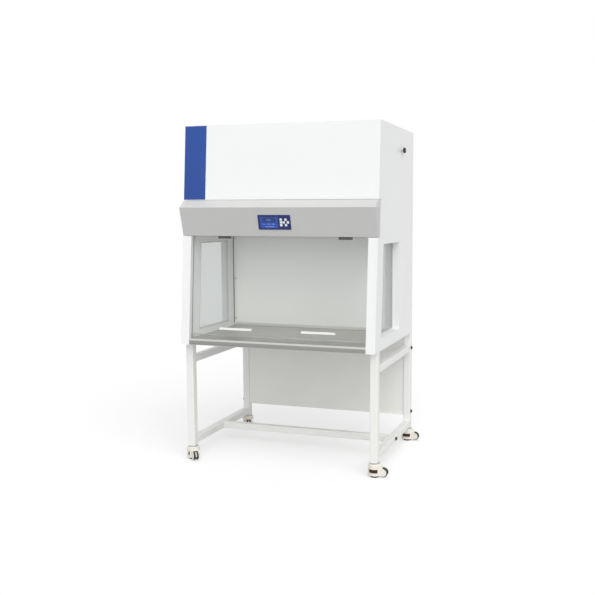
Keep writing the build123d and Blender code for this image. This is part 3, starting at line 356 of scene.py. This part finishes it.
# Painted light: above the console's bevel the grey coat is painted lighter, standing in for the stronger
# light falling on its upward bevel.
paint_light_by_height(grey_coat, (
    (CONSOLE_FOOT_Z, 1.0), (CONSOLE_BEVEL_Z - 0.002, 1.0),
    (CONSOLE_BEVEL_Z + 0.002, CAP_PAINTED_LIGHT), (CONSOLE_TOP_Z, CAP_PAINTED_LIGHT)))
# Painted light and shade on the worktop: the nose face is painted darker as shade, the strip just below its
# front edge is painted lighter as a highlight, and the rear upstand is painted lighter as a highlight.
paint_light_by_height(stainless, (
    (NOSE_FOOT_Z, 0.58), (NOSE_LIP_Z - 0.002, 0.64), (NOSE_LIP_Z + 0.001, 1.25),
    (WORKTOP_Z - 0.001, 1.30), (WORKTOP_Z, 1.0), (WORKTOP_Z + 0.003, 1.0),
    (WORKTOP_Z + 0.005, UPSTAND_PAINTED_HIGHLIGHT), (UPSTAND_Z, UPSTAND_PAINTED_HIGHLIGHT)))
clear_glass = glass("window_glass", (207, 210, 209))
sash_tint = glass("sash_glass_tint", (250, 251, 250))
uv_glass = glass("quartz_tube", (238, 240, 250), 0.05)
screen_blue = moulded("screen_window", (32, 78, 182), 0.05, 0.12, 0.05, 60.0, 0.0)
bezel_navy = moulded("bezel_membrane", (10, 32, 100), 0.2, 0.32, 0.06, 1600.0, 0.1)
white_plastic = moulded("white_moulding", (244, 244, 241), 0.28, 0.4, 0.03, 1200.0, 0.1)
black_plastic = moulded("black_moulding", (18, 18, 19), 0.3, 0.45, 0.15, 1100.0, 0.25)
gasket_rubber = moulded("pale_seal", (206, 208, 205), 0.5, 0.65, 0.06, 900.0, 0.2)
lamp_cover = moulded("lamp_cover", (246, 247, 248), 0.2, 0.3, 0.02, 800.0, 0.05)
filter_paper = moulded("filter_paper", (242, 241, 234), 0.85, 0.95, 0.05, 700.0, 0.5)
filter_pad = moulded("filter_pad", (226, 228, 228), 0.9, 1.0, 0.15, 260.0, 1.0)
wheel_black = moulded("wheel_nylon", (22, 22, 23), 0.32, 0.5, 0.2, 700.0, 0.2)
dial_red = moulded("dial_red", (66, 14, 14), 0.35, 0.5, 0.15, 900.0, 0.2)
pad_rubber = moulded("pad_rubber", (30, 29, 28), 0.6, 0.8, 0.2, 500.0, 0.4)

finish = {
    white_coat: ["left_side_panel", "right_side_panel", "base_panel", "rear_panel", "roof_panel",
                 "prefilter_grille", "front_cover"],
    grey_coat: ["apron"],
    liner_coat: ["left_liner", "right_liner", "ceiling_panel", "diffuser_screen", "back_wall"],
    stand_coat: ["left_stand_frame", "right_stand_frame", "stand_crossbar"],
    panel_coat: ["stand_back_panel"],
    motor_coat: ["blower_motor"],
    stainless: ["worktop"],
    galvanised: ["controller_box", "plenum_box", "blower_scroll", "blower_wheel"],
    bright_steel: ["blower_shaft", "test_port", "caster_plates"],
    zinc: ["panel_screws"],
    black_oxide: ["stand_bolts"],
    aluminium: ["sash_guides", "filter_frame"],
    clear_glass: ["window_panes"],
    sash_tint: ["sash_glass"],
    uv_glass: ["uv_tube"],
    screen_blue: ["display_screen"],
    bezel_navy: ["display_bezel"],
    white_plastic: ["sash_pulls", "uv_lamp_holders"],
    black_plastic: ["ceiling_handles", "test_port_cap", "power_inlet"],
    gasket_rubber: ["window_gaskets"],
    lamp_cover: ["led_lamp"],
    filter_paper: ["filter_media"],
    filter_pad: ["prefilter"],
}
for corner in ("front_left", "front_right", "rear_left", "rear_right"):
    finish.setdefault(cream_coat, []).append(corner + "_caster_housing")
    finish.setdefault(wheel_black, []).append(corner + "_caster_wheel")
    finish.setdefault(dial_red, []).append(corner + "_caster_dial")
    finish.setdefault(pad_rubber, []).append(corner + "_caster_foot")
for material, names in finish.items():
    for name in names:
        nodes[name].data.materials.clear()
        nodes[name].data.materials.append(material)


# ------------------------------------------------------------ how pieces are made
SMOOTH_ANGLE = math.radians(40)
SHARP_ANGLE = math.radians(35)


def start_alone():
    """Leaves nothing selected before a new piece is added."""
    bpy.ops.object.select_all(action="DESELECT")


def named(name):
    """The piece just added, with its name on its mesh as well."""
    piece = bpy.context.object
    piece.name = name
    piece.data.name = name
    return piece


def block(name, centre, size, turn=(0.0, 0.0, 0.0)):
    """A block at its size and place, ready to be shaped."""
    start_alone()
    bpy.ops.mesh.primitive_cube_add(size=1.0, location=centre, rotation=turn)
    piece = named(name)
    piece.scale = size
    bpy.ops.object.transform_apply(location=False, rotation=False, scale=True)
    return piece


def upright_rod(name, centre, radius, length):
    """A round upright rod at its size and place."""
    start_alone()
    bpy.ops.mesh.primitive_cylinder_add(vertices=24, radius=radius, depth=length, location=centre)
    return named(name)


def any_face(polygon):
    """The test that wants every face."""
    return True


def edit_faces(piece, wanted):
    """Enters edit mode with only the faces selected that the test wants."""
    for polygon in piece.data.polygons:
        polygon.select = False
    bpy.ops.object.mode_set(mode="EDIT")
    bpy.ops.mesh.select_mode(type="FACE")
    bpy.ops.mesh.select_all(action="DESELECT")
    bpy.ops.object.mode_set(mode="OBJECT")
    for polygon in piece.data.polygons:
        polygon.select = wanted(polygon)
    bpy.ops.object.mode_set(mode="EDIT")


def leave_edit():
    """Goes back to object mode, which writes the edit into the mesh."""
    bpy.ops.object.mode_set(mode="OBJECT")


def merge_seams(threshold):
    """Joins the points that meet and turns the faces outwards, in edit mode."""
    bpy.ops.mesh.select_all(action="SELECT")
    bpy.ops.mesh.remove_doubles(threshold=threshold)
    bpy.ops.mesh.normals_make_consistent(inside=False)


def soften(piece, width, segments=2):
    """Rounds the piece's sharp edges and smooths what is left nearly flat."""
    rounding = piece.modifiers.new("rounding", "BEVEL")
    rounding.width = width
    rounding.segments = segments
    rounding.angle_limit = SHARP_ANGLE
    bpy.ops.object.modifier_apply(modifier="rounding")
    bpy.ops.object.shade_smooth_by_angle(angle=SMOOTH_ANGLE)


def settle(piece, body, material):
    """Puts the piece's place into its mesh, and gives it its body and finish."""
    bpy.ops.object.transform_apply(location=True, rotation=True, scale=True)
    piece.data.materials.clear()
    piece.data.materials.append(material)
    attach(piece, body)


def plate(name, centre, size, turn, bevel, body, material):
    """A flat plate with softened edges."""
    piece = block(name, centre, size, turn)
    soften(piece, bevel, 3)
    settle(piece, body, material)


# ------------------------------------------------------------ coloured stripe
STRIPE_LOW, STRIPE_HIGH = 1.5725, 2.003
STRIPE_WIDTH = 0.140
STRIPE_THICKNESS = 0.0012
STRIPE_ACROSS = -0.529         # from the cabinet's middle to the stripe's
STRIPE_RISE = 0.0004           # from the front cover to the middle of the stripe's thickness
stripe_blue = coat("stripe_blue", (22, 70, 152), mottle=0.03, low=0.18, high=0.28, peel=0.04, dust=0.0)
middle_z = (STRIPE_LOW + STRIPE_HIGH) / 2
plate("blue_stripe",
      (CABINET_X + STRIPE_ACROSS, front_y(middle_z) - STRIPE_RISE, middle_z),
      (STRIPE_WIDTH, STRIPE_THICKNESS, (STRIPE_HIGH - STRIPE_LOW) / math.cos(LEAN)),
      (-LEAN, 0, 0), 0.0004, "bench", stripe_blue)

# ------------------------------------------------------------ raised field of the back wall
FIELD_BORDER = 0.026
FIELD_RISE = 0.0008
FIELD_FOOT_GAP = 0.004
FIELD_HEAD_GAP = 0.040
field_low = UPSTAND_Z + FIELD_FOOT_GAP
field_high = CEILING_Z - FIELD_HEAD_GAP
plate("back_wall_field",
      (CABINET_X, BACK_WALL_Y - FIELD_RISE / 2, (field_low + field_high) / 2),
      (2 * (CHAMBER_HALF - FIELD_BORDER), FIELD_RISE, field_high - field_low),
      (0, 0, 0), 0.0003, "bench", back_wall_coat)

# ------------------------------------------------------------ seals of the work chamber
BEAD_RADIUS = 0.0045
silicone = moulded("grey_silicone", (84, 86, 84), 0.35, 0.5, 0.1, 500.0, 0.1)


def corner_seal(name, side):
    """A bead of silicone down a back corner: a rod cut to the quarter that shows."""
    corner = (CABINET_X + side * CHAMBER_HALF, BACK_WALL_Y, (UPSTAND_Z + CEILING_Z) / 2)
    piece = upright_rod(name, corner, BEAD_RADIUS, CEILING_Z - UPSTAND_Z)
    for normal in ((side, 0, 0), (0, 1, 0)):
        edit_faces(piece, any_face)
        bpy.ops.mesh.bisect(plane_co=corner, plane_no=normal, use_fill=True, clear_outer=True)
        leave_edit()
    bpy.ops.object.shade_smooth_by_angle(angle=SMOOTH_ANGLE)
    settle(piece, "bench", silicone)


corner_seal("left_corner_seal", -1)
corner_seal("right_corner_seal", 1)

# ------------------------------------------------------------ handles of the ceiling panel
HANDLE_SIZE = (0.081, 0.016, 0.034)
HANDLE_WALL = 0.003
HANDLE_ROUNDING = 0.0012
HANDLE_Y = CABINET_Y + 0.162
HANDLE_ACROSS = 0.380          # from the cabinet's middle, either way


def ceiling_handle(name, side):
    """A flat cup pull: a block with softened edges, hollowed from behind for the fingers."""
    width, depth, height = HANDLE_SIZE
    centre = (CABINET_X + side * HANDLE_ACROSS, HANDLE_Y, CEILING_Z - height / 2)
    piece = block(name, centre, (width, depth, height))
    edit_faces(piece, lambda polygon: polygon.normal.y > 0.9)
    bpy.ops.mesh.inset(thickness=HANDLE_WALL)
    bpy.ops.mesh.extrude_region_move(
        TRANSFORM_OT_translate={"value": (0, HANDLE_WALL - depth, 0)})
    leave_edit()
    soften(piece, HANDLE_ROUNDING, 3)
    settle(piece, "bench", black_plastic)
    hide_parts("ceiling_handles")


ceiling_handle("left_ceiling_handle", -1)
ceiling_handle("right_ceiling_handle", 1)

# ------------------------------------------------------------ strip under the sliding glass
SASH_FOOT_Z = 0.775
GLASS_SETBACK = 0.0345
STRIP_THICKNESS = 0.0072
STRIP_HEIGHT = 0.0062
STRIP_LIP = 0.0010
STRIP_ROUNDING = 0.0004
SIDE_CLEARANCE = 0.003
edge_rubber = moulded("sash_edge_rubber", (172, 173, 170), 0.45, 0.6, 0.1, 700.0, 0.2)
strip = block("sash_edge_strip",
              (CABINET_X, front_y(SASH_FOOT_Z) + GLASS_SETBACK, SASH_FOOT_Z + STRIP_HEIGHT / 2 - STRIP_LIP),
              (2 * (CHAMBER_HALF - SIDE_CLEARANCE), STRIP_THICKNESS, STRIP_HEIGHT), (-LEAN, 0, 0))
edit_faces(strip, lambda polygon: polygon.normal.z > 0.9)
bpy.ops.mesh.inset(thickness=STRIP_LIP)
bpy.ops.mesh.extrude_region_move(
    TRANSFORM_OT_translate={"value": (0, 0, STRIP_LIP - STRIP_HEIGHT), "orient_type": "LOCAL"})
leave_edit()
soften(strip, STRIP_ROUNDING)
settle(strip, "sash", edge_rubber)

# ------------------------------------------------------------ wheel guards of the casters
LEG_ACROSS = 0.5775
LEG_BACK = {"front": 0.0805, "rear": 0.8635}
HEADINGS = {"front_left": -48.0, "front_right": 0.0, "rear_left": -60.0, "rear_right": 0.0}
WHEEL_OFFSET = 0.054           # from the swivel's axis to the axle
WHEEL_RADIUS = 0.025
AXLE_Z = 0.030
GROOVE = 0.008                 # between the two treads
GROOVE_CLEARANCE = 0.0007
GUARD_DEPTH = 0.0050
GUARD_RECESS = 0.0030          # below the treads
GUARD_START = math.radians(-72)
GUARD_SWEEP = math.radians(176)
GUARD_ROOT = 0.017             # how far behind the axle the guard meets the housing
ROOT_SHIFT = (-0.0058, 0, 0.0020)
GUARD_ROUNDING = 0.0006


def wheel_guard():
    """A rib in the twin wheel's groove: a small section spun round the axle, its root in the housing."""
    middle = WHEEL_RADIUS - GUARD_RECESS - GUARD_DEPTH / 2
    start_x = WHEEL_OFFSET + middle * math.sin(GUARD_START)
    start_z = AXLE_Z + middle * math.cos(GUARD_START)
    start_alone()
    bpy.ops.mesh.primitive_plane_add(
        size=1.0, location=(start_x, 0, start_z), rotation=(0, math.pi / 2 + GUARD_START, 0))
    piece = bpy.context.object
    piece.scale = (GUARD_DEPTH, GROOVE - 2 * GROOVE_CLEARANCE, 1)
    bpy.ops.object.transform_apply(location=True, rotation=True, scale=True)
    edit_faces(piece, any_face)
    bpy.ops.mesh.spin(steps=20, angle=-GUARD_SWEEP, center=(WHEEL_OFFSET, 0, AXLE_Z), axis=(0, 1, 0))
    merge_seams(0.00001)
    leave_edit()
    root_x = WHEEL_OFFSET - GUARD_ROOT
    edit_faces(piece, lambda polygon: polygon.center.x < root_x and polygon.normal.x < -0.5
               and abs(polygon.normal.y) < 0.5)
    bpy.ops.transform.translate(value=ROOT_SHIFT)
    leave_edit()
    soften(piece, GUARD_ROUNDING)
    return piece


guard = wheel_guard()
for corner, heading in HEADINGS.items():
    depth, side = corner.split("_")
    copy = guard.copy()
    copy.data = guard.data.copy()
    copy.name = corner + "_wheel_guard"
    copy.data.name = copy.name
    bpy.context.collection.objects.link(copy)
    start_alone()
    copy.select_set(True)
    bpy.context.view_layer.objects.active = copy
    copy.rotation_euler = (0, 0, math.radians(heading))
    across = LEG_ACROSS if side == "right" else -LEG_ACROSS
    copy.location = (CABINET_X + across, CABINET_Y + LEG_BACK[depth], 0)
    settle(copy, corner + "_swivel", cream_coat)
bpy.data.objects.remove(guard)

# ------------------------------------------------------------ console display
CONSOLE_FOOT_Y = front_y(CONSOLE_FOOT_Z) + 0.0015
CONSOLE_NOSE_Y = CABINET_Y + 0.013
CONSOLE_TILT = math.atan2(CONSOLE_FOOT_Y - CONSOLE_NOSE_Y, CONSOLE_HEIGHT)
CONSOLE_TURN = (math.pi / 2 + CONSOLE_TILT, 0, 0)
DISPLAY_ACROSS = -0.005
DISPLAY_UP = 0.084
BEZEL_FACE = 0.0030            # how far the surround stands out from the console's face
SCREEN_FACE = 0.0026


def on_console(across, up, out):
    """A place on the console's face, measured from its lower edge's middle."""
    return (CABINET_X + across,
            CONSOLE_FOOT_Y - math.sin(CONSOLE_TILT) * up - math.cos(CONSOLE_TILT) * out,
            CONSOLE_FOOT_Z + math.cos(CONSOLE_TILT) * up - math.sin(CONSOLE_TILT) * out)


KEY_SIZE = (0.0140, 0.0135, 0.0006)
KEY_BORDER = 0.0016
KEY_DOME = 0.0003
KEY_ROUNDING = 0.0004
KEY_COLUMN = 0.042             # the column of three keys, from the display's middle
KEY_STEP = 0.0160
PAD_MIDDLE = 0.071             # the pad of four keys, from the display's middle
PAD_STEP = 0.0130
key_white = moulded("key_white", (236, 240, 244), 0.25, 0.38, 0.04, 1500.0, 0.05)
glyph_pale = moulded("readout_pale", (132, 164, 232), 0.3, 0.4, 0.05, 900.0, 0.0)
glyph_dark = moulded("readout_dark", (24, 56, 116), 0.3, 0.4, 0.05, 900.0, 0.0)


def display_key(name, across, up):
    """A domed touch key: a pad whose face is drawn in and raised."""
    place = on_console(across, up, BEZEL_FACE + KEY_SIZE[2] / 2)
    piece = block(name, place, KEY_SIZE, CONSOLE_TURN)
    edit_faces(piece, lambda polygon: polygon.normal.z > 0.9)
    bpy.ops.mesh.inset(thickness=KEY_BORDER)
    bpy.ops.mesh.extrude_region_move(
        TRANSFORM_OT_translate={"value": (0, 0, KEY_DOME), "orient_type": "LOCAL"})
    leave_edit()
    soften(piece, KEY_ROUNDING)
    settle(piece, "bench", key_white)


key_places = (
    (KEY_COLUMN, -KEY_STEP), (KEY_COLUMN, 0), (KEY_COLUMN, KEY_STEP),
    (PAD_MIDDLE, -KEY_STEP), (PAD_MIDDLE - PAD_STEP, 0), (PAD_MIDDLE + PAD_STEP, 0), (PAD_MIDDLE, KEY_STEP))
for number, (across, up) in enumerate(key_places, start=1):
    display_key("display_key_%d" % number, DISPLAY_ACROSS + across, DISPLAY_UP + up)

SCREEN_MIDDLE = -0.037
FILM_THICKNESS = 0.00016
FILM_BEVEL = 0.00006
DIGITS_RISE = 0.00018
DIGITS_HALF_DEPTH = 0.00005


def readout(name, digits, across, up, size):
    """Digits of the display, set as raised type and made a mesh."""
    start_alone()
    place = on_console(across, up, SCREEN_FACE + DIGITS_RISE)
    bpy.ops.object.text_add(location=place, rotation=CONSOLE_TURN)
    type_set = bpy.context.object.data
    type_set.body = digits
    type_set.size = size
    type_set.extrude = DIGITS_HALF_DEPTH
    bpy.ops.object.convert(target="MESH")
    piece = named(name)
    edit_faces(piece, any_face)
    merge_seams(0.000005)
    leave_edit()
    settle(piece, "bench", glyph_pale)


def film(name, across, up, width, height, material):
    """A thin printed film on the screen."""
    plate(name, on_console(across, up, SCREEN_FACE + FILM_THICKNESS / 2),
          (width, height, FILM_THICKNESS), CONSOLE_TURN, FILM_BEVEL, "bench", material)


film("screen_panel", SCREEN_MIDDLE, 0.0985, 0.084, 0.031, glyph_dark)
readout("flow_digits", "0.45", SCREEN_MIDDLE - 0.014, 0.0930, 0.0150)
readout("hours_digits", "0128", SCREEN_MIDDLE - 0.044, 0.0700, 0.0100)
BAR_HEIGHT = 0.0034
screen_bars = ((-0.012, 0.0740, 0.020), (0.016, 0.0740, 0.020), (-0.026, 0.0585, 0.058))
for number, (left, up, length) in enumerate(screen_bars, start=1):
    middle = SCREEN_MIDDLE + left + length / 2
    film("screen_bar_%d" % number, middle, up, length, BAR_HEIGHT, glyph_pale)

# ------------------------------------------------------------ floor, light and camera
FLOOR_GLOW = 0.47
ROOM_LIGHT = 0.58              # what the room lends to the light on the object
start_alone()
bpy.ops.mesh.primitive_circle_add(vertices=96, radius=40.0, fill_type="NGON", location=(0, 0, 0))
floor = bpy.context.object
floor.name = "floor"
floor_finish, tree, shader = blank_material("studio_floor")
shader.inputs["Base Color"].default_value = (0.56, 0.56, 0.56, 1)
shader.inputs["Roughness"].default_value = 0.9
shader.inputs["Specular IOR Level"].default_value = 0.0
glow = math_node(tree, "MULTIPLY", seen_by_eye(tree), FLOOR_GLOW)
tree.links.new(glow, shader.inputs["Emission Strength"])
shader.inputs["Emission Color"].default_value = (1, 1, 1, 1)
floor.data.materials.append(floor_finish)

world = bpy.data.worlds.new("studio")
bpy.context.scene.world = world
world.use_nodes = True
tree = world.node_tree
background = tree.nodes["Background"]
level = tree.nodes.new("ShaderNodeMapRange")
tree.links.new(seen_by_eye(tree), level.inputs["Value"])
level.inputs["To Min"].default_value = ROOM_LIGHT
level.inputs["To Max"].default_value = 1.0
tree.links.new(level.outputs["Result"], background.inputs["Strength"])
background.inputs["Color"].default_value = (1, 1, 1, 1)


def soft_sun(name, power, direction, angle):
    """Light from one side of the room, as wide as the angle given in degrees."""
    lamp = bpy.data.lights.new(name, "SUN")
    lamp.energy = power
    lamp.angle = math.radians(angle)
    holder = bpy.data.objects.new(name, lamp)
    holder.rotation_euler = Vector(direction).to_track_quat("-Z", "Y").to_euler()
    bpy.context.collection.objects.link(holder)


soft_sun("key_from_above", 1.35, (-0.40, 0.50, -0.80), 50.0)
soft_sun("front_fill", 1.15, (-0.36, 0.92, -0.11), 60.0)

EYE = (CABINET_X + 1.7932, CABINET_Y - 4.1606, 1.4872)
LOOK_DOWN = math.radians(5.974)
LOOK_LEFT = math.radians(17.445)
camera = bpy.data.cameras.new("view")
camera.lens = 48.18
camera.sensor_width = 36.0
camera.shift_x = -0.0966
holder = bpy.data.objects.new("view", camera)
holder.location = EYE
holder.rotation_euler = (math.pi / 2 - LOOK_DOWN, 0, LOOK_LEFT)
bpy.context.collection.objects.link(holder)
bpy.context.scene.camera = holder
bpy.context.scene.view_settings.view_transform = "Standard"
